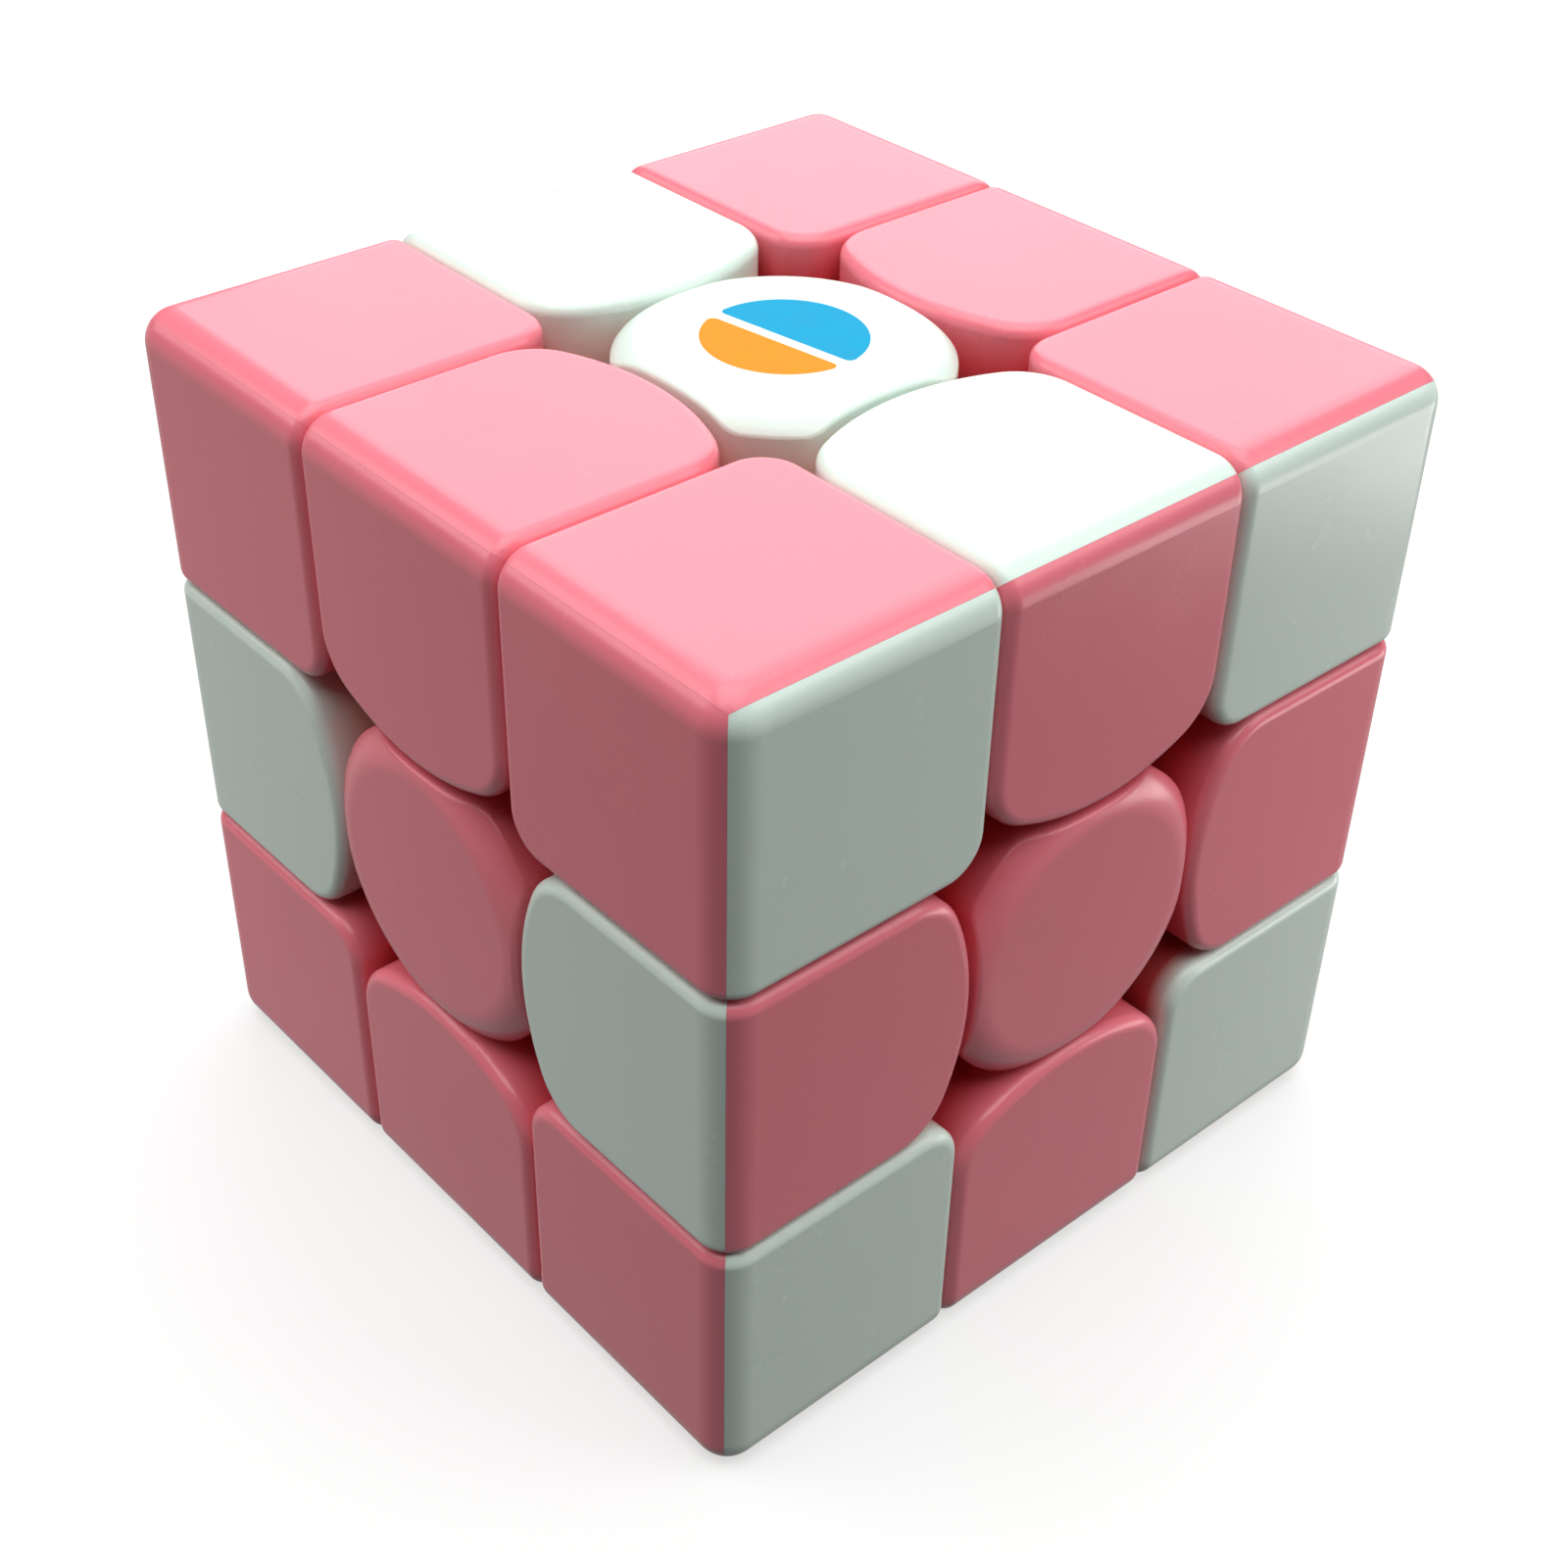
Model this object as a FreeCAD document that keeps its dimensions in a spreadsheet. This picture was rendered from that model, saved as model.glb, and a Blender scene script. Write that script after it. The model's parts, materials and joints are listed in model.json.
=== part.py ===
import FreeCAD, Part
import Sketcher
import itertools
import math
import os

# Twisty puzzle cube, 56 mm across, 3 x 3 x 3 layers, shells of pink and white plastic.
# Millimetres. The origin is the middle of the core, +Z is up, -Y is the front, +X is the right.
#
# Every cut between the pieces is a flat plane square to a turning axis or a sphere about the
# origin, so each of the six faces turns freely past the others:
#   outside the sphere the layers part at a third of the width (shells and centre caps),
#   inside it they part at the feet, which reach under the neighbouring pieces and hold them.

Vector = FreeCAD.Vector

doc = FreeCAD.newDocument("twisty_puzzle_cube")

# ---------------------------------------------------------------- sizes

SIZES = [
    ("half_width", "28"),            # outer face from the middle of the core
    ("layer_cut", "9.3333"),         # plane between an outer layer and the middle layer
    ("foot_cut", "5"),               # the same plane further in, where the feet pass
    ("gap_side", "0.1"),             # clearance on each side of a cut
    ("rim_round", "2.2"),            # outer edges of the whole cube
    ("side_round", "0.8"),           # edges where one piece faces the next
    ("corner_inner_round", "2.8"),   # corner piece, edge that points at the face's middle
    ("edge_end_radius", "16.5"),     # curved end of an edge piece, toward the centre cap
    ("edge_end_round", "4.2"),       # roundings beside that curved end
    ("wall_outer", "1.8"),           # shell wall under the outer faces
    ("wall_inner", "1.6"),           # shell wall along the cuts
    ("edge_end_wall", "3.4"),        # shell wall behind the curved end, at its middle
    ("seam_side", "0.004"),          # half of the seam between two shells of one piece
    ("shell_sphere", "21.1"),        # inner ends of shells and centres lie on this sphere
    ("foot_sphere", "20.9"),         # outer face of the feet under the neighbours
    ("foot_inner_sphere", "16"),     # inner face of the feet
    ("boss_sphere", "23"),           # end of the boss that locates a foot in its shells
    ("boss_clearance", "0.2"),       # boss to shell wall
    ("cap_radius", "10.4"),          # centre cap, round part of its outline
    ("cap_half_width", "8.95"),      # centre cap, its four flats
    ("cap_corner_round", "2.5"),     # roundings where the flats meet the round part
    ("cap_flat_radius", "7.9"),      # centre cap, flat disc on top
    ("cap_bevel_drop", "1.3"),       # centre cap, fall of the rounded shoulder
    ("cap_edge_round", "0.35"),      # centre cap, sharp edges broken
    ("cap_wall", "1.2"),             # centre cap skirt
    ("cap_bottom", "21.7"),          # centre cap rests on the base here
    ("cap_fit", "0.1"),              # base rim to cap skirt
    ("rim_top", "24"),               # base rim inside the cap
    ("rim_wall", "1.1"),             # wall of that rim
    ("stem_radius", "4.9"),          # centre base stem
    ("stem_bottom", "5.1"),          # lower end of the stem
    ("bore_radius", "2.5"),          # stem bore, turns on the core post
    ("well_floor", "10.5"),          # spring seat
    ("well_radius", "4"),            # spring well
    ("core_half", "4.9"),            # block in the middle of the core
    ("core_round", "1.2"),           # its rounded edges
    ("post_radius", "2.4"),          # six posts of the core
    ("post_reach", "15"),            # post end from the middle
    ("pilot_radius", "1.3"),         # screw hole in the posts
    ("screw_radius", "1.25"),        # screw shaft
    ("screw_tip", "5.5"),            # lower end of the shaft
    ("head_bottom", "17.6"),         # underside of the screw head
    ("head_radius", "2.7"),
    ("head_height", "2"),
    ("slot_width", "0.7"),           # cross slot in the head
    ("slot_length", "3.2"),
    ("slot_depth", "1.1"),
    ("washer_radius", "3.7"),
    ("washer_hole", "1.4"),
    ("washer_thickness", "0.4"),
    ("coil_radius", "3.2"),          # spring, middle of the wire
    ("wire_radius", "0.25"),
    ("coil_pitch", "1.24"),
]

sheet = doc.addObject("Spreadsheet::Sheet", "sizes")
for row, (alias, value) in enumerate(SIZES, start=1):
    sheet.set("A%d" % row, alias)
    sheet.set("B%d" % row, value)
    sheet.setAlias("B%d" % row, alias)
doc.recompute()

CORNER_START = "{layer_cut} + {gap_side}"      # corner and edge pieces begin here
EDGE_HALF = "({layer_cut} - {gap_side})"       # half width of edge pieces
FOOT_START = "{foot_cut} + {gap_side}"
FOOT_HALF = "({foot_cut} - {gap_side})"


def size(text):
    """Turn '{half_width} - {wall_outer}' into an expression that reads the sheet."""
    return text.replace("{", "sizes.").replace("}", "")


def number(text):
    """Present value of such an expression."""
    return float(sheet.evalExpression(size(text)))


def bind(thing, settings):
    """Bind each named property of an object to its expression."""
    for name, text in settings.items():
        thing.setExpression(name, size(text))


# ---------------------------------------------------------------- sketch helpers

def new_body(label):
    body = doc.addObject("PartDesign::Body", label)
    body.Label = label
    return body


def new_sketch(body, role, label, lift=None):
    """Sketch on one of the body's own origin planes, lifted along its normal."""
    plane = next(item for item in body.Origin.OriginFeatures if item.Role == role)
    sketch = body.newObject("Sketcher::SketchObject", label)
    sketch.AttachmentSupport = (plane, [""])
    sketch.MapMode = "FlatFace"
    if lift:
        sketch.setExpression(".AttachmentOffset.Base.z", size(lift))
    return sketch


def measure(sketch, text, kind, *places):
    """Dimension in a sketch, bound to an expression."""
    index = sketch.addConstraint(Sketcher.Constraint(kind, *places, number(text)))
    sketch.setExpression("Constraints[%d]" % index, size(text))


def pin(sketch, line, end, across, up):
    """Place the end of a sketch line by its two coordinates."""
    for kind, axis, text in (("DistanceX", -2, across), ("DistanceY", -1, up)):
        if number(text) == 0:
            sketch.addConstraint(Sketcher.Constraint("PointOnObject", line, end, axis))
        elif number(text) > 0:
            measure(sketch, text, kind, -1, 1, line, end)
        else:
            measure(sketch, "-(%s)" % text, kind, line, end, -1, 1)


def close_outline(sketch, count):
    """Join the pieces of an outline, drawn end to end, into a closed wire."""
    for piece in range(count):
        follower = (piece + 1) % count
        sketch.addConstraint(Sketcher.Constraint("Coincident", piece, 2, follower, 1))


def draw_polygon(sketch, points):
    """Closed outline of straight lines through points given as pairs of expressions."""
    corners = [Vector(number(across), number(up), 0) for across, up in points]
    for start, end in zip(corners, corners[1:] + corners[:1]):
        sketch.addGeometry(Part.LineSegment(start, end))
    close_outline(sketch, len(points))
    for line, (across, up) in enumerate(points):
        pin(sketch, line, 1, across, up)


def draw_rectangle(sketch, left, right, bottom, top):
    draw_polygon(sketch, [(left, bottom), (right, bottom), (right, top), (left, top)])


def draw_circle(sketch, radius, across="0", up="0"):
    middle = Vector(number(across), number(up), 0)
    sketch.addGeometry(Part.Circle(middle, Vector(0, 0, 1), number(radius)))
    pin(sketch, 0, 3, across, up)
    measure(sketch, radius, "Radius", 0)


def draw_barrel(sketch, half, radius):
    """Square of the given half width, its corners rounded by a circle about the origin."""
    flat = number(half)
    round_radius = number(radius)
    turn = math.acos(flat / round_radius)
    circle = Part.Circle(Vector(0, 0, 0), Vector(0, 0, 1), round_radius)
    for quarter in range(4):
        start = quarter * math.pi / 2 - turn
        sketch.addGeometry(Part.LineSegment(circle.value(start), circle.value(start + 2 * turn)))
        sketch.addGeometry(Part.ArcOfCircle(circle, start + 2 * turn, start + math.pi / 2))
    close_outline(sketch, 8)
    for quarter in range(4):
        upright = quarter % 2 == 0
        side = 2 * quarter
        sketch.addConstraint(Sketcher.Constraint("Vertical" if upright else "Horizontal", side))
        sketch.addConstraint(Sketcher.Constraint("Coincident", side + 1, 3, -1, 1))
        kind = "DistanceX" if upright else "DistanceY"
        places = (-1, 1, side, 1) if quarter < 2 else (side, 1, -1, 1)
        measure(sketch, half, kind, *places)
    measure(sketch, radius, "Radius", 1)


def draw_edge_end(sketch, corners, upright):
    """Outline that starts with the bulging end of an edge piece and goes on through corners.

    The bulge touches the layer cut with its middle and is as wide as the piece. It points
    down the sketch when upright is true and to the left otherwise."""
    half = number(EDGE_HALF)
    large = number("{edge_end_radius}")
    small = number("{edge_end_round}")
    reach = number(CORNER_START) + large
    spread = math.asin((half - small) / (large - small))
    setback = reach - (large - small) * math.cos(spread)
    facing = 1.5 * math.pi if upright else math.pi

    def place(along, across):
        """Point at this distance from the face's middle and this far to the side."""
        return Vector(across, along, 0) if upright else Vector(along, -across, 0)

    def arc(middle, radius, start, end):
        circle = Part.Circle(middle, Vector(0, 0, 1), radius)
        return Part.ArcOfCircle(circle, start, end)

    bulge = arc(place(reach, 0), large, facing - spread, facing + spread)
    after = arc(place(setback, half - small), small, facing + spread, facing + math.pi / 2)
    before = arc(place(setback, small - half), small, facing - math.pi / 2, facing - spread)
    route = [after.EndPoint]
    route += [Vector(number(across), number(up), 0) for across, up in corners]
    route += [before.StartPoint]
    lines = [Part.LineSegment(start, end) for start, end in zip(route, route[1:])]
    sketch.addGeometry([bulge, after] + lines + [before])
    last = len(lines) + 2
    for piece in range(1, last):
        sketch.addConstraint(Sketcher.Constraint("Coincident", piece, 2, piece + 1, 1))
    sketch.addConstraint(Sketcher.Constraint("Tangent", 0, 2, 1, 1))
    sketch.addConstraint(Sketcher.Constraint("Tangent", last, 2, 0, 1))
    sketch.addConstraint(Sketcher.Constraint("PointOnObject", 0, 3, -2 if upright else -1))
    along = "DistanceY" if upright else "DistanceX"
    measure(sketch, CORNER_START + " + {edge_end_radius}", along, -1, 1, 0, 3)
    measure(sketch, "{edge_end_radius}", "Radius", 0)
    across = "DistanceX" if upright else "DistanceY"
    level = "Horizontal" if upright else "Vertical"
    for piece, end in ((1, 2), (last, 1)):
        measure(sketch, "{edge_end_round}", "Radius", piece)
        sketch.addConstraint(Sketcher.Constraint(level, piece, end, piece, 3))
        if (piece == 1) == upright:
            measure(sketch, EDGE_HALF, across, -1, 1, piece, end)
        else:
            measure(sketch, EDGE_HALF, across, piece, end, -1, 1)
    for line, (x_text, y_text) in enumerate(corners, start=3):
        pin(sketch, line, 1, x_text, y_text)


# ---------------------------------------------------------------- feature helpers

def pad(body, sketch, label, length, both_ways=False):
    feature = body.newObject("PartDesign::Pad", label)
    feature.Profile = sketch
    feature.Midplane = both_ways
    bind(feature, {"Length": length})
    doc.recompute()
    return feature


def pocket(body, sketch, label, length, both_ways=False, reversed_cut=False):
    """Pocket that must take something away."""
    before = body.Shape.Volume
    feature = body.newObject("PartDesign::Pocket", label)
    feature.Profile = sketch
    feature.Midplane = both_ways
    feature.Reversed = reversed_cut
    bind(feature, {"Length": length})
    doc.recompute()
    if body.Shape.Volume >= before - 1e-6:
        raise RuntimeError(label + " cuts nothing")
    return feature


def ball_cut(body, label, radius):
    feature = body.newObject("PartDesign::SubtractiveSphere", label)
    bind(feature, {"Radius": radius})
    doc.recompute()
    return feature


def box_cut(body, label, start, lengths):
    feature = body.newObject("PartDesign::SubtractiveBox", label)
    bind(feature, dict(zip((".Placement.Base.x", ".Placement.Base.y", ".Placement.Base.z"), start)))
    bind(feature, dict(zip(("Length", "Width", "Height"), lengths)))
    doc.recompute()
    return feature


def round_edges(body, label, radius, chosen):
    """Fillet every edge of the body so far for which chosen(edge) is true."""
    base = body.Tip
    names = ["Edge%d" % index for index, edge in enumerate(base.Shape.Edges, start=1)
             if chosen(edge)]
    if not names:
        raise RuntimeError(label + " finds no edges")
    feature = body.newObject("PartDesign::Fillet", label)
    feature.Base = (base, names)
    bind(feature, {"Radius": radius})
    doc.recompute()
    return feature


def edge_lies_at(edge, **wanted):
    """True when every point of the edge has the wanted x, y or z, whatever its sign."""
    if edge.Degenerated:
        return False
    samples = edge.discretize(5)
    return all(abs(abs(getattr(point, axis)) - level) < 0.01
               for point in samples for axis, level in wanted.items())


# ---------------------------------------------------------------- shells of corner and edge pieces

def mitre(body, label, role):
    """Cut a shell back to the plane through the origin where it meets its neighbour shell."""
    seam = "{seam_side} * 1.4142"
    inner = "{foot_cut}"
    outer = "{half_width} + 1"
    sketch = new_sketch(body, role, label + "_sketch")
    draw_polygon(sketch, [(inner, "0"), (outer, "0"),
                          (outer, outer + " + " + seam), (inner, inner + " + " + seam)])
    pocket(body, sketch, label, "4 * {half_width}", both_ways=True)


def where_faces_meet(one_level, other_level):
    """Test for the edges of a cube where two faces at these levels meet."""
    def chosen(edge):
        return any(edge_lies_at(edge, **{one: one_level, other: other_level})
                   for one, other in itertools.permutations("xyz", 2))
    return chosen


def corner_shell():
    """Top-face shell of the corner piece that lies toward +X, +Y and +Z."""
    body = new_body("corner_shell")
    sketch = new_sketch(body, "XY_Plane", "corner_block_sketch", CORNER_START)
    draw_rectangle(sketch, CORNER_START, "{half_width}", CORNER_START, "{half_width}")
    pad(body, sketch, "corner_block", "{half_width} - (%s)" % CORNER_START)
    near = number(CORNER_START)
    far = number("{half_width}")
    round_edges(body, "corner_inner_edges", "{corner_inner_round}", where_faces_meet(near, near))
    round_edges(body, "corner_rim_edges", "{rim_round}", where_faces_meet(far, far))
    round_edges(body, "corner_side_edges", "{side_round}", where_faces_meet(near, far))
    start = CORNER_START + " + {wall_inner}"
    length = "{half_width} - {wall_outer} - (%s)" % start
    box_cut(body, "corner_hollow", [start] * 3, [length] * 3)
    ball_cut(body, "corner_inner_end", "{shell_sphere}")
    mitre(body, "corner_seam_x", "XZ_Plane")
    mitre(body, "corner_seam_y", "YZ_Plane")
    return body


def edge_shell():
    """Top-face shell of the edge piece that lies toward +X and +Z."""
    body = new_body("edge_shell")
    outer = "{half_width}"
    sketch = new_sketch(body, "XY_Plane", "edge_block_sketch", "{foot_cut}")
    draw_edge_end(sketch, [(outer, "-" + EDGE_HALF), (outer, EDGE_HALF)], upright=False)
    pad(body, sketch, "edge_block", "{half_width} - {foot_cut}")
    sketch = new_sketch(body, "YZ_Plane", "edge_lower_end_sketch")
    wide = "{half_width} / 2"
    low = "{foot_cut} - 1"
    level = CORNER_START + " + {edge_end_round}"
    draw_edge_end(sketch, [(wide, level), (wide, low), ("-" + wide, low), ("-" + wide, level)],
                  upright=True)
    pocket(body, sketch, "edge_lower_end", "4 * {half_width}", both_ways=True)
    far = number("{half_width}")
    round_edges(body, "edge_rim", "{rim_round}", where_faces_meet(far, far))
    round_edges(body, "edge_side_edges", "{side_round}",
                lambda edge: edge_lies_at(edge, x=far) or edge_lies_at(edge, z=far))
    start = CORNER_START + " + {edge_end_wall}"
    length = "{half_width} - {wall_outer} - (%s)" % start
    half = "(%s - {wall_inner})" % EDGE_HALF
    box_cut(body, "edge_hollow", [start, "-" + half, start], [length, "2 * " + half, length])
    ball_cut(body, "edge_inner_end", "{shell_sphere}")
    mitre(body, "edge_seam", "XZ_Plane")
    return body


# ---------------------------------------------------------------- feet

def block(label, start, half_across=None):
    """Box from the start plane outward; across Y it can be centred on the origin instead."""
    reach = "{half_width}"
    box = doc.addObject("Part::Box", label)
    bind(box, {".Placement.Base.x": start, ".Placement.Base.z": start,
               "Length": reach, "Height": reach})
    if half_across:
        bind(box, {".Placement.Base.y": "-" + half_across, "Width": "2 * " + half_across})
    else:
        bind(box, {".Placement.Base.y": start, "Width": reach})
    return box


def ball(label, radius):
    sphere = doc.addObject("Part::Sphere", label)
    bind(sphere, {"Radius": radius})
    return sphere


def foot(name, half_across, boss_start):
    """Toe under the neighbours, pad that the shells stand on, and boss inside the shells."""
    layers = []
    for role, start, radius in (("toe", FOOT_START, "{foot_sphere}"),
                                ("pad", CORNER_START, "{shell_sphere}"),
                                ("boss", boss_start, "{boss_sphere}")):
        common = doc.addObject("Part::MultiCommon", name + "_" + role)
        common.Shapes = [block("%s_%s_block" % (name, role), start, half_across),
                         ball("%s_%s_ball" % (name, role), radius)]
        layers.append(common)
    whole = doc.addObject("Part::MultiFuse", name + "_layers")
    whole.Shapes = layers
    result = doc.addObject("Part::Cut", name)
    result.Base = whole
    result.Tool = ball(name + "_underside", "{foot_inner_sphere}")
    result.Label = name
    doc.recompute()
    return result


# ---------------------------------------------------------------- centre piece

def centre_cap():
    """Cap of the top centre: a shallow cup with a round shoulder and four flats."""
    body = new_body("centre_cap")
    sketch = new_sketch(body, "XY_Plane", "cap_outline_sketch", "{cap_bottom}")
    draw_barrel(sketch, "{cap_half_width}", "{cap_radius}")
    pad(body, sketch, "cap_outline", "{half_width} - {cap_bottom}")
    round_edges(body, "cap_corners", "{cap_corner_round}",
                lambda edge: edge.BoundBox.ZLength > number("{cap_bevel_drop}"))

    top = number("{half_width}")
    flat = number("{cap_flat_radius}")
    drop = number("{cap_bevel_drop}")
    run = number("{cap_radius}") - flat
    shoulder = (run * run + drop * drop) / (2 * drop)
    sweep = math.asin(run / shoulder)
    sketch = new_sketch(body, "XZ_Plane", "cap_shoulder_sketch")
    circle = Part.Circle(Vector(flat, top - shoulder, 0), Vector(0, 0, 1), shoulder)
    arc = Part.ArcOfCircle(circle, math.pi / 2 - sweep, math.pi / 2)
    past = Vector(flat + run, top + 1, 0)
    above = Vector(flat, top + 1, 0)
    sketch.addGeometry([arc, Part.LineSegment(arc.EndPoint, above),
                        Part.LineSegment(above, past), Part.LineSegment(past, arc.StartPoint)])
    close_outline(sketch, 4)
    sketch.addConstraint(Sketcher.Constraint("Vertical", 3))
    sketch.addConstraint(Sketcher.Constraint("Vertical", 0, 3, 0, 2))
    measure(sketch, "{cap_flat_radius}", "DistanceX", -1, 1, 0, 2)
    measure(sketch, "{half_width}", "DistanceY", -1, 1, 0, 2)
    measure(sketch, "{cap_radius}", "DistanceX", -1, 1, 0, 1)
    measure(sketch, "{half_width} - {cap_bevel_drop}", "DistanceY", -1, 1, 0, 1)
    pin(sketch, 2, 1, "{cap_flat_radius}", "{half_width} + 1")
    measure(sketch, "{half_width} + 1", "DistanceY", -1, 1, 3, 1)
    before = body.Shape.Volume
    groove = body.newObject("PartDesign::Groove", "cap_shoulder")
    groove.Profile = sketch
    groove.ReferenceAxis = (sketch, ["V_Axis"])
    groove.Angle = 360
    doc.recompute()
    if body.Shape.Volume >= before:
        raise RuntimeError("cap_shoulder cuts nothing")

    side = number("{cap_half_width}")
    bottom = number("{cap_bottom}")
    round_edges(body, "cap_broken_edges", "{cap_edge_round}",
                lambda edge: edge.BoundBox.ZMin > bottom + 0.1
                and (edge_lies_at(edge, x=side) or edge_lies_at(edge, y=side)))
    sketch = new_sketch(body, "XY_Plane", "cap_hollow_sketch", "{cap_bottom}")
    draw_barrel(sketch, "{cap_half_width} - {cap_wall}", "{cap_radius} - {cap_wall}")
    pocket(body, sketch, "cap_hollow", "{half_width} - {wall_outer} - {cap_bottom}",
           reversed_cut=True)
    return body


def centre_base():
    """Stem that turns on a core post, and the flange and rim that carry the cap."""
    body = new_body("centre_base")
    inset = " - {cap_wall} - {cap_fit}"
    sketch = new_sketch(body, "XY_Plane", "base_flange_sketch", "{well_floor}")
    draw_barrel(sketch, "{cap_half_width}", "{cap_radius}")
    pad(body, sketch, "base_flange", "{cap_bottom} - {well_floor}")
    sketch = new_sketch(body, "XY_Plane", "base_rim_sketch", "{cap_bottom}")
    draw_barrel(sketch, "{cap_half_width}" + inset, "{cap_radius}" + inset)
    pad(body, sketch, "base_rim", "{rim_top} - {cap_bottom}")
    ball_cut(body, "base_underside", "{shell_sphere}")
    sketch = new_sketch(body, "XY_Plane", "base_stem_sketch", "{stem_bottom}")
    draw_circle(sketch, "{stem_radius}")
    pad(body, sketch, "base_stem", "{cap_bottom} - {stem_bottom}")
    sketch = new_sketch(body, "XY_Plane", "base_recess_sketch", "{cap_bottom}")
    hollow = inset + " - {rim_wall}"
    draw_barrel(sketch, "{cap_half_width}" + hollow, "{cap_radius}" + hollow)
    pocket(body, sketch, "base_recess", "{half_width} - {cap_bottom}", reversed_cut=True)
    sketch = new_sketch(body, "XY_Plane", "base_well_sketch", "{well_floor}")
    draw_circle(sketch, "{well_radius}")
    pocket(body, sketch, "base_well", "{half_width} - {well_floor}", reversed_cut=True)
    sketch = new_sketch(body, "XY_Plane", "base_bore_sketch")
    draw_circle(sketch, "{bore_radius}")
    pocket(body, sketch, "base_bore", "{half_width}", reversed_cut=True)
    return body


# ---------------------------------------------------------------- core, screw, washer, spring

def core():
    """Rounded block with six posts, each with a pilot hole for its screw."""
    body = new_body("core")
    half = "{core_half}"
    sketch = new_sketch(body, "XY_Plane", "core_block_sketch")
    draw_rectangle(sketch, "-" + half, half, "-" + half, half)
    pad(body, sketch, "core_block", "2 * " + half, both_ways=True)
    level = number(half)
    round_edges(body, "core_block_edges", "{core_round}", where_faces_meet(level, level))
    planes = ("XY_Plane", "XZ_Plane", "YZ_Plane")
    for role in planes:
        label = "core_posts_" + role[:2].lower()
        sketch = new_sketch(body, role, label + "_sketch")
        draw_circle(sketch, "{post_radius}")
        pad(body, sketch, label, "2 * {post_reach}", both_ways=True)
    for role in planes:
        label = "core_pilots_" + role[:2].lower()
        sketch = new_sketch(body, role, label + "_sketch")
        draw_circle(sketch, "{pilot_radius}")
        pocket(body, sketch, label, "3 * {post_reach}", both_ways=True)
    return body


def screw():
    """Tension screw of the top centre, with a cross slot."""
    body = new_body("screw")
    sketch = new_sketch(body, "XY_Plane", "screw_shaft_sketch", "{screw_tip}")
    draw_circle(sketch, "{screw_radius}")
    pad(body, sketch, "screw_shaft", "{head_bottom} - {screw_tip}")
    sketch = new_sketch(body, "XY_Plane", "screw_head_sketch", "{head_bottom}")
    draw_circle(sketch, "{head_radius}")
    pad(body, sketch, "screw_head", "{head_height}")
    long_half, short_half = "{slot_length} / 2", "{slot_width} / 2"
    for label, across, up in (("screw_slot", long_half, short_half),
                              ("screw_cross_slot", short_half, long_half)):
        sketch = new_sketch(body, "XY_Plane", label + "_sketch", "{head_bottom} + {head_height}")
        draw_rectangle(sketch, "-" + across, across, "-" + up, up)
        pocket(body, sketch, label, "{slot_depth}")
    return body


def washer():
    body = new_body("washer")
    sketch = new_sketch(body, "XY_Plane", "washer_sketch", "{head_bottom} - {washer_thickness}")
    draw_circle(sketch, "{washer_radius}")
    pad(body, sketch, "washer_disc", "{washer_thickness}")
    sketch = new_sketch(body, "XY_Plane", "washer_hole_sketch", "{head_bottom}")
    draw_circle(sketch, "{washer_hole}")
    pocket(body, sketch, "washer_bore", "{washer_thickness}")
    return body


def spring():
    """Coil between the spring seat and the washer of the top centre."""
    body = new_body("spring")
    seat = "{well_floor} + {wire_radius}"
    sketch = new_sketch(body, "XZ_Plane", "spring_wire_sketch")
    draw_circle(sketch, "{wire_radius}", "{coil_radius}", seat)
    coil = body.newObject("PartDesign::AdditiveHelix", "spring_coil")
    coil.Profile = sketch
    coil.ReferenceAxis = (sketch, ["V_Axis"])
    coil.Mode = "pitch-height-angle"
    bind(coil, {"Pitch": "{coil_pitch}",
                "Height": "{head_bottom} - {washer_thickness} - {wire_radius} - (%s)" % seat})
    doc.recompute()
    return body


# ---------------------------------------------------------------- the ten shapes that repeat

SHAPES = {
    "corner_shell": corner_shell(),
    "corner_foot": foot("corner_foot", None,
                        CORNER_START + " + {wall_inner} + {boss_clearance}"),
    "edge_shell": edge_shell(),
    "edge_foot": foot("edge_foot", FOOT_HALF,
                      CORNER_START + " + {edge_end_wall} + {boss_clearance}"),
    "centre_cap": centre_cap(),
    "centre_base": centre_base(),
    "core": core(),
    "screw": screw(),
    "washer": washer(),
    "spring": spring(),
}


# ---------------------------------------------------------------- the pieces of the cube

NORMALS = {
    "up": Vector(0, 0, 1),
    "down": Vector(0, 0, -1),
    "front": Vector(0, -1, 0),
    "back": Vector(0, 1, 0),
    "left": Vector(-1, 0, 0),
    "right": Vector(1, 0, 0),
}
LEVELS = ("up", "down")
DEPTHS = ("front", "back")
SIDES = ("left", "right")


def copy_of(shape_name, label, face, toward=None):
    """Link to a repeating shape, turned so that its top face is on the given face.

    An edge or corner piece also needs a neighbouring face, which its +X face goes to."""
    upward = NORMALS[face]
    if toward:
        sideways = NORMALS[toward]
    else:
        sideways = Vector(upward.y, upward.z, upward.x)
    rotation = FreeCAD.Rotation(sideways, upward.cross(sideways), upward, "ZXY")
    link = doc.addObject("App::Link", label)
    link.LinkedObject = SHAPES[shape_name]
    link.Placement = FreeCAD.Placement(Vector(0, 0, 0), rotation)
    return link


def corner_neighbour(face, faces):
    """The face that follows counter-clockwise around the corner, seen from outside."""
    others = [other for other in faces if other != face]
    first, second = others
    clockwise = NORMALS[first].cross(NORMALS[second]).dot(NORMALS[face]) < 0
    return second if clockwise else first


def group(node, links):
    """One named sub-part; its pieces stay separate solids."""
    compound = doc.addObject("Part::Compound", node)
    compound.Links = links
    compound.Label = node
    return compound


def edge_colour(face, faces):
    """White stands where the middle layers were turned: on edges beside left or right."""
    beside_side = any(side in faces for side in SIDES)
    return "white" if beside_side and face not in SIDES else "pink"


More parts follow.
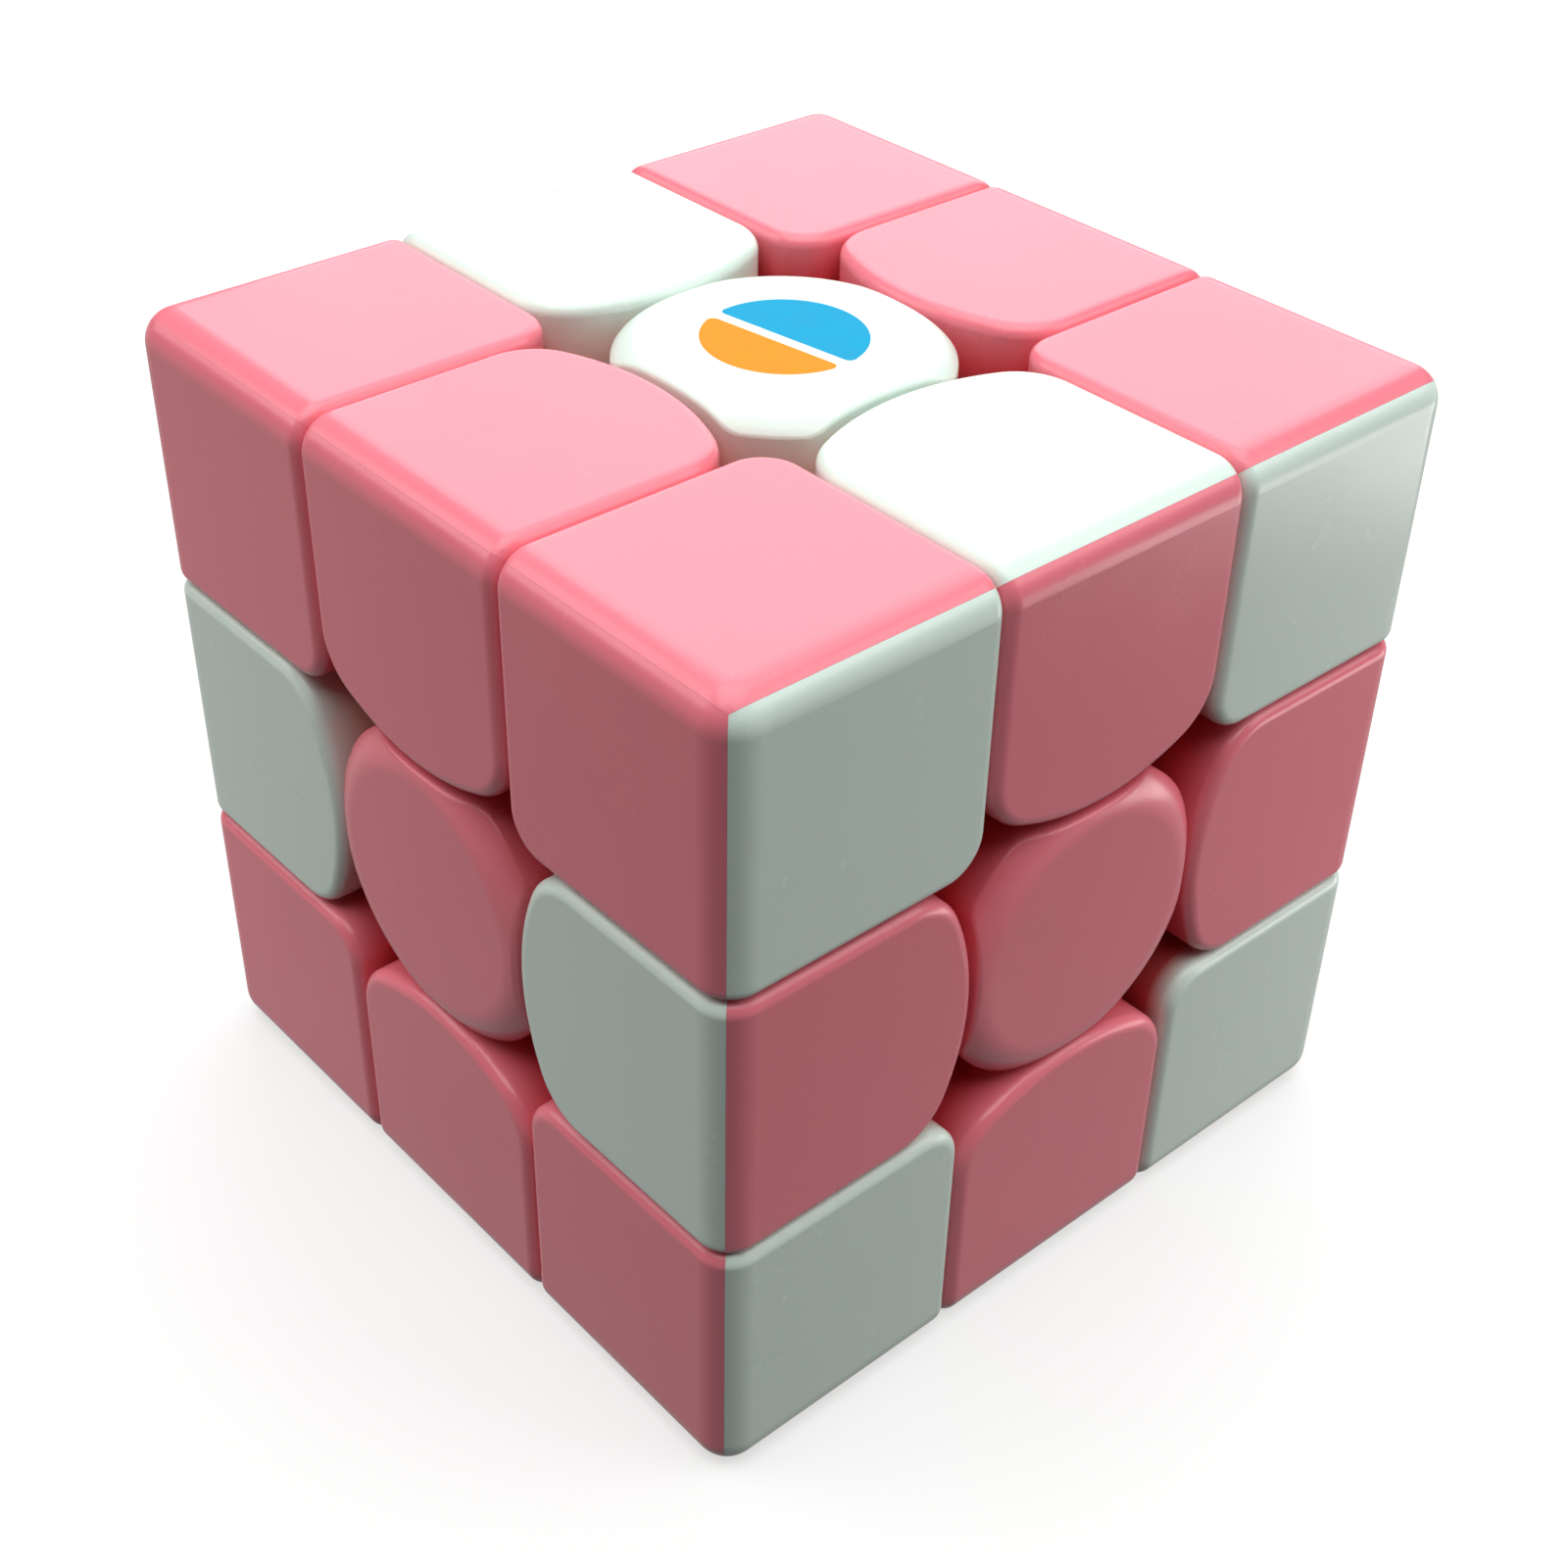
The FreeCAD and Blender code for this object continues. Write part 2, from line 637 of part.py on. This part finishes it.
def corner_colour(face, faces):
    return "white" if face in SIDES else "pink"


def piece(kind, faces, colour, neighbour):
    """Nodes of one corner or edge piece: its white shell if any, its pink shells and foot."""
    name = "_".join((kind,) + faces)
    shells = {"white": [], "pink": []}
    for face in faces:
        label = "%s_%s_shell" % (name, face)
        link = copy_of(kind + "_shell", label, face, neighbour(face, faces))
        shells[colour(face, faces)].append(link)
    foot_link = copy_of(kind + "_foot", name + "_foot", faces[0], neighbour(faces[0], faces))
    plural = "s" if len(shells["pink"]) > 1 else ""
    nodes = [group("%s_pink_shell%s_and_foot" % (name, plural), shells["pink"] + [foot_link])]
    if shells["white"]:
        nodes.append(group(name + "_white_shell", shells["white"]))
    return nodes


def all_nodes():
    nodes = []
    for faces in itertools.product(LEVELS, DEPTHS, SIDES):
        nodes += piece("corner", faces, corner_colour, corner_neighbour)
    pairs = [*itertools.product(LEVELS, DEPTHS), *itertools.product(LEVELS, SIDES),
             *itertools.product(DEPTHS, SIDES)]
    for faces in pairs:
        nodes += piece("edge", faces, edge_colour,
                       lambda face, both: next(other for other in both if other != face))
    for face in NORMALS:
        for part_name in ("cap", "base"):
            label = "centre_%s_%s" % (face, part_name)
            nodes.append(group(label, [copy_of("centre_" + part_name, label + "_shape", face)]))
    for node, shape_name in (("tension_screws", "screw"), ("washers", "washer"),
                             ("tension_springs", "spring")):
        nodes.append(group(node, [copy_of(shape_name, "%s_%s" % (shape_name, face), face)
                                  for face in NORMALS]))
    nodes.append(group("core_spider", [copy_of("core", "core_shape", "up")]))
    return nodes


# ---------------------------------------------------------------- check and write

nodes = all_nodes()
doc.recompute()

failed = [item.Label for item in doc.Objects
          if any(state in ("Invalid", "Error") for state in item.State)]
if failed:
    raise RuntimeError("failed objects: " + ", ".join(failed))
for node in nodes:
    if node.Shape.isNull() or not node.Shape.isValid():
        raise RuntimeError(node.Label + " has no valid shape")

os.makedirs("parts", exist_ok=True)
for node in nodes:
    node.Shape.exportStep("parts/%s.step" % node.Label)
print(len(nodes), "nodes,", sum(len(node.Shape.Solids) for node in nodes), "solids")
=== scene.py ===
import json
import math

import bmesh
import bpy
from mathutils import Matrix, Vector


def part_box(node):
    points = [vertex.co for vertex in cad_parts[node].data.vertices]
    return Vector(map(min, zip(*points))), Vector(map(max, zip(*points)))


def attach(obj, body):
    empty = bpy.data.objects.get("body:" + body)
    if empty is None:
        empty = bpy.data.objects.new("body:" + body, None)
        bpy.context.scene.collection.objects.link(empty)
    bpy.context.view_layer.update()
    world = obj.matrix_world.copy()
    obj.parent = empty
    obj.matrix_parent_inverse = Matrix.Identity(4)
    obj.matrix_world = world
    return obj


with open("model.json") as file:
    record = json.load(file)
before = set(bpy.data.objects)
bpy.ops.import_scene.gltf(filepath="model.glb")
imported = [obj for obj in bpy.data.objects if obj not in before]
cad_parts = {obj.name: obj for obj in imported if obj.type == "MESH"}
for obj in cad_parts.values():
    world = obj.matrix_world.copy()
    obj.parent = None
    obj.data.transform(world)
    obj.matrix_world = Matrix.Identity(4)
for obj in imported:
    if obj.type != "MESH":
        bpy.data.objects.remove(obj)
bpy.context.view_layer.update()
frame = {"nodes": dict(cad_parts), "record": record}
nodes = frame["nodes"]

MM = 0.001
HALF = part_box("centre_up_cap")[1][2]    # half of the cube's outer width

# painted light in the gaps: with depth under a face, the walls turn to a painted bounce colour,
# then to a painted dark shade
PAINTED_BOUNCE_START = 0.7 * MM        # depth under a face at which the walls begin to take on painted reflected light, then painted shade
PAINTED_BOUNCE_END = 3.0 * MM
PAINTED_BOUNCE_END_NEAR_PINK = 2.0 * MM  # for white walls that stand close to pink ones, where the painted pink reflected light is full at a shallower depth
# depth at which the painted dark shade deep in the gaps is full
PAINTED_SHADE_END = 7.0 * MM

DUST_CELLS = 350.0           # cells per metre, one speck at most in each
DUST_RADIUS = (0.025, 0.04)  # of a cell, from the full speck to its faint edge
DUST_PICKED = (0.84, 0.85)   # a cell with a random number above this has a speck
DUST_STRENGTH = 0.55

FLOOR_RADIUS = 3.0
FLOOR_FADE = (0.12, 0.40)    # the floor's own shade fades out between these distances


# ---------------------------------------------------------------- node helpers

def new_material(name):
    material = bpy.data.materials.new(name)
    material.use_nodes = True
    tree = material.node_tree
    tree.nodes.clear()
    output = tree.nodes.new("ShaderNodeOutputMaterial")
    shader = tree.nodes.new("ShaderNodeBsdfPrincipled")
    tree.links.new(shader.outputs["BSDF"], output.inputs["Surface"])
    return material, tree, shader


def add(tree, kind, **values):
    """New shader node; values name its properties or its input sockets."""
    node = tree.nodes.new(kind)
    for name, value in values.items():
        socket = name.replace("_", " ")
        if hasattr(node, name):
            setattr(node, name, value)
        else:
            node.inputs[socket].default_value = value
    return node


def noise(tree, place, scale, detail, roughness=0.5):
    node = add(tree, "ShaderNodeTexNoise", Scale=scale, Detail=detail, Roughness=roughness)
    tree.links.new(place, node.inputs["Vector"])
    return node.outputs["Fac"]


def ramp(tree, source, low, high, to_low, to_high):
    node = add(tree, "ShaderNodeMapRange", From_Min=low, From_Max=high, To_Min=to_low,
               To_Max=to_high)
    tree.links.new(source, node.inputs["Value"])
    return node.outputs["Result"]


def blend_colour(tree, factor, first, second):
    node = add(tree, "ShaderNodeMix", data_type="RGBA")
    tree.links.new(factor, node.inputs["Factor"])
    for socket, colour in ((node.inputs[6], first), (node.inputs[7], second)):
        if isinstance(colour, tuple):
            socket.default_value = colour + (1.0,)
        else:
            tree.links.new(colour, socket)
    return node.outputs[2]


# ---------------------------------------------------------------- materials

def depth_below_face(tree, place):
    """Depth of a point under the nearest outer face of the cube at rest, in metres."""
    absolute = add(tree, "ShaderNodeVectorMath", operation="ABSOLUTE")
    tree.links.new(place, absolute.inputs[0])
    split = tree.nodes.new("ShaderNodeSeparateXYZ")
    tree.links.new(absolute.outputs["Vector"], split.inputs["Vector"])
    furthest = split.outputs["X"]
    for axis in "YZ":
        larger = add(tree, "ShaderNodeMath", operation="MAXIMUM")
        tree.links.new(furthest, larger.inputs[0])
        tree.links.new(split.outputs[axis], larger.inputs[1])
        furthest = larger.outputs["Value"]
    depth = add(tree, "ShaderNodeMath", operation="SUBTRACT")
    depth.inputs[0].default_value = HALF
    tree.links.new(furthest, depth.inputs[1])
    return depth.outputs["Value"]


def dust(tree, place):
    """A few round specks, a fifth of a millimetre across, in cells picked at random."""
    cells = add(tree, "ShaderNodeTexVoronoi", Scale=DUST_CELLS)
    tree.links.new(place, cells.inputs["Vector"])
    near_middle = ramp(tree, cells.outputs["Distance"], *DUST_RADIUS, 1.0, 0.0)
    split = tree.nodes.new("ShaderNodeSeparateXYZ")
    tree.links.new(cells.outputs["Color"], split.inputs["Vector"])
    picked = ramp(tree, split.outputs["X"], *DUST_PICKED, 0.0, DUST_STRENGTH)
    both = add(tree, "ShaderNodeMath", operation="MULTIPLY")
    tree.links.new(near_middle, both.inputs[0])
    tree.links.new(picked, both.inputs[1])
    return both.outputs["Value"]


def moulded_plastic(name, colour, cloud_colour, speck_colour, painted_bounce_colour, painted_shade_colour,
                    painted_bounce_end=PAINTED_BOUNCE_END):
    """Gloss plastic, coloured through: faint clouds, a fine moulded grain and a few specks.

    The walls in the gaps are painted with the light reflected from the pieces around them, more so
    further in, and deeper still with painted dark shade."""
    material, tree, shader = new_material(name)
    place = tree.nodes.new("ShaderNodeTexCoord").outputs["Object"]
    clouds = ramp(tree, noise(tree, place, 60.0, 3.0), 0.3, 0.7, 0.0, 1.0)
    base = blend_colour(tree, clouds, colour, cloud_colour)
    depth = depth_below_face(tree, place)
    # painted reflected light on the walls in the gaps, by depth under the face
    base = blend_colour(tree, ramp(tree, depth, PAINTED_BOUNCE_START, painted_bounce_end, 0.0, 1.0), base, painted_bounce_colour)
    # painted dark shade deeper in the gaps
    base = blend_colour(tree, ramp(tree, depth, painted_bounce_end, PAINTED_SHADE_END, 0.0, 1.0), base, painted_shade_colour)
    base = blend_colour(tree, dust(tree, place), base, speck_colour)
    tree.links.new(base, shader.inputs["Base Color"])
    smudges = noise(tree, place, 140.0, 4.0, 0.6)
    tree.links.new(ramp(tree, smudges, 0.3, 0.7, 0.20, 0.29), shader.inputs["Roughness"])
    grain = add(tree, "ShaderNodeBump", Strength=0.04, Distance=0.00004)
    tree.links.new(noise(tree, place, 800.0, 0.0), grain.inputs["Height"])
    tree.links.new(grain.outputs["Normal"], shader.inputs["Normal"])
    shader.inputs["IOR"].default_value = 1.47
    shader.inputs["Subsurface Weight"].default_value = 0.06
    shader.inputs["Subsurface Radius"].default_value = (1.0, 0.5, 0.45)
    shader.inputs["Subsurface Scale"].default_value = 0.0012
    return material


def printed_ink(name, colour, thin_colour):
    """Flat print with a slightly uneven coat."""
    material, tree, shader = new_material(name)
    place = tree.nodes.new("ShaderNodeTexCoord").outputs["Object"]
    coat = ramp(tree, noise(tree, place, 500.0, 3.0), 0.35, 0.65, 0.0, 1.0)
    tree.links.new(blend_colour(tree, coat, colour, thin_colour), shader.inputs["Base Color"])
    tree.links.new(ramp(tree, coat, 0.0, 1.0, 0.4, 0.5), shader.inputs["Roughness"])
    shader.inputs["Specular IOR Level"].default_value = 0.04
    return material


def metal(name, colour, roughness):
    """Plated or drawn steel with fine turning marks."""
    material, tree, shader = new_material(name)
    place = tree.nodes.new("ShaderNodeTexCoord").outputs["Object"]
    marks = noise(tree, place, 1500.0, 3.0)
    darker = tuple(0.7 * part for part in colour)
    tree.links.new(blend_colour(tree, marks, darker, colour), shader.inputs["Base Color"])
    tree.links.new(ramp(tree, marks, 0.3, 0.7, roughness - 0.08, roughness + 0.08),
                   shader.inputs["Roughness"])
    shader.inputs["Metallic"].default_value = 1.0
    return material


# the fourth colour of each plastic is painted reflected light on the walls in the gaps, the fifth
# is painted dark shade deeper in
PINK = moulded_plastic("pink_plastic", (0.92, 0.22, 0.275), (0.89, 0.21, 0.265),
                       (0.55, 0.14, 0.16), (0.82, 0.08, 0.10), (0.42, 0.01, 0.015))
WHITE = moulded_plastic("white_plastic", (0.74, 0.86, 0.78), (0.72, 0.84, 0.76),
                        (0.42, 0.44, 0.40), (0.80, 0.64, 0.56), (0.62, 0.30, 0.25))
# white plastic whose walls carry painted pink reflected light and painted dark red shade from the
# pink shells beside them
WHITE_WITH_PAINTED_PINK_BOUNCE = moulded_plastic("white_plastic_painted_pink_bounce", (0.74, 0.86, 0.78), (0.72, 0.84, 0.76),
                                (0.42, 0.44, 0.40), (0.55, 0.08, 0.08), (0.42, 0.01, 0.02),
                                painted_bounce_end=PAINTED_BOUNCE_END_NEAR_PINK)
CORE = moulded_plastic("core_plastic", (0.75, 0.73, 0.70), (0.70, 0.68, 0.66),
                       (0.40, 0.40, 0.38), (0.72, 0.55, 0.50), (0.55, 0.25, 0.22))
BY_SLOT = {
    "pink_plastic": PINK,
    "white_plastic": WHITE,
    "core_plastic": CORE,
    "screw_steel": metal("screw_steel", (0.60, 0.60, 0.62), 0.32),
    "spring_steel": metal("spring_steel", (0.45, 0.45, 0.47), 0.4),
}

for subpart in frame["record"]["subparts"]:
    node = nodes[subpart["node"]]
    node.data.materials.clear()
    slot = subpart["material_slot"]
    # white parts of the corner pieces get the white plastic with painted pink reflected light and
    # shade in the gaps
    gets_painted_pink_bounce = slot == "white_plastic" and subpart["node"].startswith("corner")
    node.data.materials.append(WHITE_WITH_PAINTED_PINK_BOUNCE if gets_painted_pink_bounce else BY_SLOT[slot])


# ---------------------------------------------------------------- print on the top cap

PRINT_RADIUS = 5.1 * MM      # plain disc in two parts with a straight gap between them
PRINT_CORNER = 0.45 * MM     # rounding of each part's two corners
PRINT_TURN = math.radians(9)
PRINT_BACK_START = -0.1 * MM     # distance of each part's straight side from the disc's middle
PRINT_FRONT_START = 0.9 * MM
PRINT_BELOW = 0.02 * MM      # the plate reaches this far into the cap
PRINT_PROUD = 0.008 * MM     # and stands this far above it


def arc_points(middle, radius, start, end, count):
    for step in range(count):
        angle = start + (end - start) * step / (count - 1)
        yield Vector((middle[0] + radius * math.cos(angle), middle[1] + radius * math.sin(angle)))


def disc_part(name, start, turn, material):
    """Plate shaped as the part of the disc beyond a straight line, its two corners rounded."""
    level = start + PRINT_CORNER
    across = math.sqrt((PRINT_RADIUS - PRINT_CORNER) ** 2 - level ** 2)
    lean = math.atan2(level, across)
    outline = list(arc_points((across, level), PRINT_CORNER, -math.pi / 2, lean, 8))
    outline += list(arc_points((0, 0), PRINT_RADIUS, lean, math.pi - lean, 64))[1:-1]
    outline += list(arc_points((-across, level), PRINT_CORNER, math.pi - lean, 1.5 * math.pi, 8))
    shape = bmesh.new()
    cosine, sine = math.cos(turn), math.sin(turn)
    ring = [shape.verts.new((cosine * u - sine * v, sine * u + cosine * v, HALF - PRINT_BELOW))
            for u, v in outline]
    face = shape.faces.new(ring)
    raised = bmesh.ops.extrude_face_region(shape, geom=[face])
    for vert in raised["geom"]:
        if isinstance(vert, bmesh.types.BMVert):
            vert.co.z = HALF + PRINT_PROUD
    bmesh.ops.recalc_face_normals(shape, faces=shape.faces)
    mesh = bpy.data.meshes.new(name)
    shape.to_mesh(mesh)
    shape.free()
    mesh.materials.append(material)
    plate = bpy.data.objects.new(name, mesh)
    bpy.context.scene.collection.objects.link(plate)
    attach(plate, "centre_up")


disc_part("print_back_part", PRINT_BACK_START, PRINT_TURN,
          printed_ink("blue_ink", (0.003, 0.31, 0.54), (0.005, 0.33, 0.57)))
disc_part("print_front_part", PRINT_FRONT_START, PRINT_TURN + math.pi,
          printed_ink("orange_ink", (0.80, 0.26, 0.014), (0.84, 0.28, 0.018)))


# ---------------------------------------------------------------- stage, lights, camera

def stage_disc(name, level, base, glow, far_glow):
    """Round floor that gives the object no light of its own, and fades to an even tone far out."""
    mesh = bpy.data.meshes.new(name)
    shape = bmesh.new()
    bmesh.ops.create_circle(shape, cap_ends=True, radius=FLOOR_RADIUS, segments=64)
    shape.to_mesh(mesh)
    shape.free()
    disc = bpy.data.objects.new(name, mesh)
    disc.location.z = level
    bpy.context.scene.collection.objects.link(disc)
    material, tree, shader = new_material(name + "_paper")
    reach = add(tree, "ShaderNodeVectorMath", operation="LENGTH")
    tree.links.new(tree.nodes.new("ShaderNodeTexCoord").outputs["Object"], reach.inputs[0])
    far_out = reach.outputs["Value"]
    tree.links.new(ramp(tree, far_out, *FLOOR_FADE, base, 0.0), shader.inputs["Base Color"])
    shader.inputs["Roughness"].default_value = 0.9
    shader.inputs["Specular IOR Level"].default_value = 0.0
    shader.inputs["Emission Color"].default_value = (1.0, 1.0, 0.99, 1.0)
    tree.links.new(ramp(tree, far_out, *FLOOR_FADE, glow, far_glow),
                   shader.inputs["Emission Strength"])
    mesh.materials.append(material)
    disc.visible_diffuse = False
    return disc


def stage_floor():
    """The floor that is seen, and a dimmer one just under it that only gloss reflects."""
    seen = stage_disc("floor", -HALF, 0.36, 0.60, 1.0)
    seen.visible_glossy = False
    reflected = stage_disc("floor_in_gloss", -HALF - MM, 0.0, 0.5, 0.5)
    reflected.visible_camera = False
    reflected.visible_shadow = False


def area_light(name, place, aim, size, power, colour):
    """Soft panel turned to face a point; the camera doesn't see it."""
    data = bpy.data.lights.new(name, "AREA")
    data.shape = "RECTANGLE"
    data.size, data.size_y = size
    data.energy = power
    data.color = colour
    lamp = bpy.data.objects.new(name, data)
    lamp.location = place
    lamp.visible_camera = False
    direction = Vector(aim) - Vector(place)
    lamp.rotation_euler = direction.to_track_quat("-Z", "Y").to_euler()
    bpy.context.scene.collection.objects.link(lamp)
    return lamp


def lighting():
    """One wide panel above, softer ones around, and two low ones for the outer side pieces."""
    area_light("key_above", (0.05, -0.05, 0.60), (0, 0, 0), (0.7, 0.7), 4.7, (0.98, 1.0, 1.0))
    area_light("soft_left", (-0.36, -0.34, 0.34), (0, 0, 0), (0.35, 0.35), 0.92, (1.0, 0.98, 0.97))
    area_light("soft_right", (0.35, 0.33, 0.38), (0, 0, 0), (0.35, 0.35), 1.0, (0.98, 1.0, 1.0))
    area_light("soft_back", (-0.34, 0.38, 0.33), (0, 0, 0), (0.6, 0.6), 2.2, (0.96, 0.98, 1.0))
    area_light("side_right", (0.085, 0.095, -0.018), (HALF, 0.022, -0.018), (0.08, 0.05),
               0.044, (1.0, 0.97, 0.95))
    side_left = area_light("side_left", (-0.095, -0.085, -0.020), (-0.022, -HALF, -0.018),
                           (0.08, 0.05), 0.030, (1.0, 0.98, 0.97))
    side_left.visible_glossy = False
    world = bpy.data.worlds.new("studio")
    world.use_nodes = True
    tree = world.node_tree
    tree.nodes.clear()
    output = tree.nodes.new("ShaderNodeOutputWorld")
    around = add(tree, "ShaderNodeBackground", Color=(0.95, 1.0, 0.96, 1.0), Strength=0.035)
    seen = add(tree, "ShaderNodeBackground", Color=(1.0, 1.0, 1.0, 1.0), Strength=1.0)
    path = tree.nodes.new("ShaderNodeLightPath")
    mix = tree.nodes.new("ShaderNodeMixShader")
    tree.links.new(path.outputs["Is Camera Ray"], mix.inputs["Fac"])
    tree.links.new(around.outputs["Background"], mix.inputs[1])
    tree.links.new(seen.outputs["Background"], mix.inputs[2])
    tree.links.new(mix.outputs["Shader"], output.inputs["Surface"])
    bpy.context.scene.world = world


def camera():
    """Stands where the photo was taken from, found by matching patches of photo and render."""
    data = bpy.data.cameras.new("camera")
    data.lens = 52.78
    data.sensor_width = 36.0
    data.clip_start = 0.005
    eye = bpy.data.objects.new("camera", data)
    eye.location = (0.09371, -0.08336, 0.08741)
    eye.rotation_euler = tuple(math.radians(angle) for angle in (53.617, -1.072, 48.872))
    bpy.context.scene.collection.objects.link(eye)
    bpy.context.scene.camera = eye


stage_floor()
lighting()
camera()
bpy.context.scene.view_settings.view_transform = "Standard"
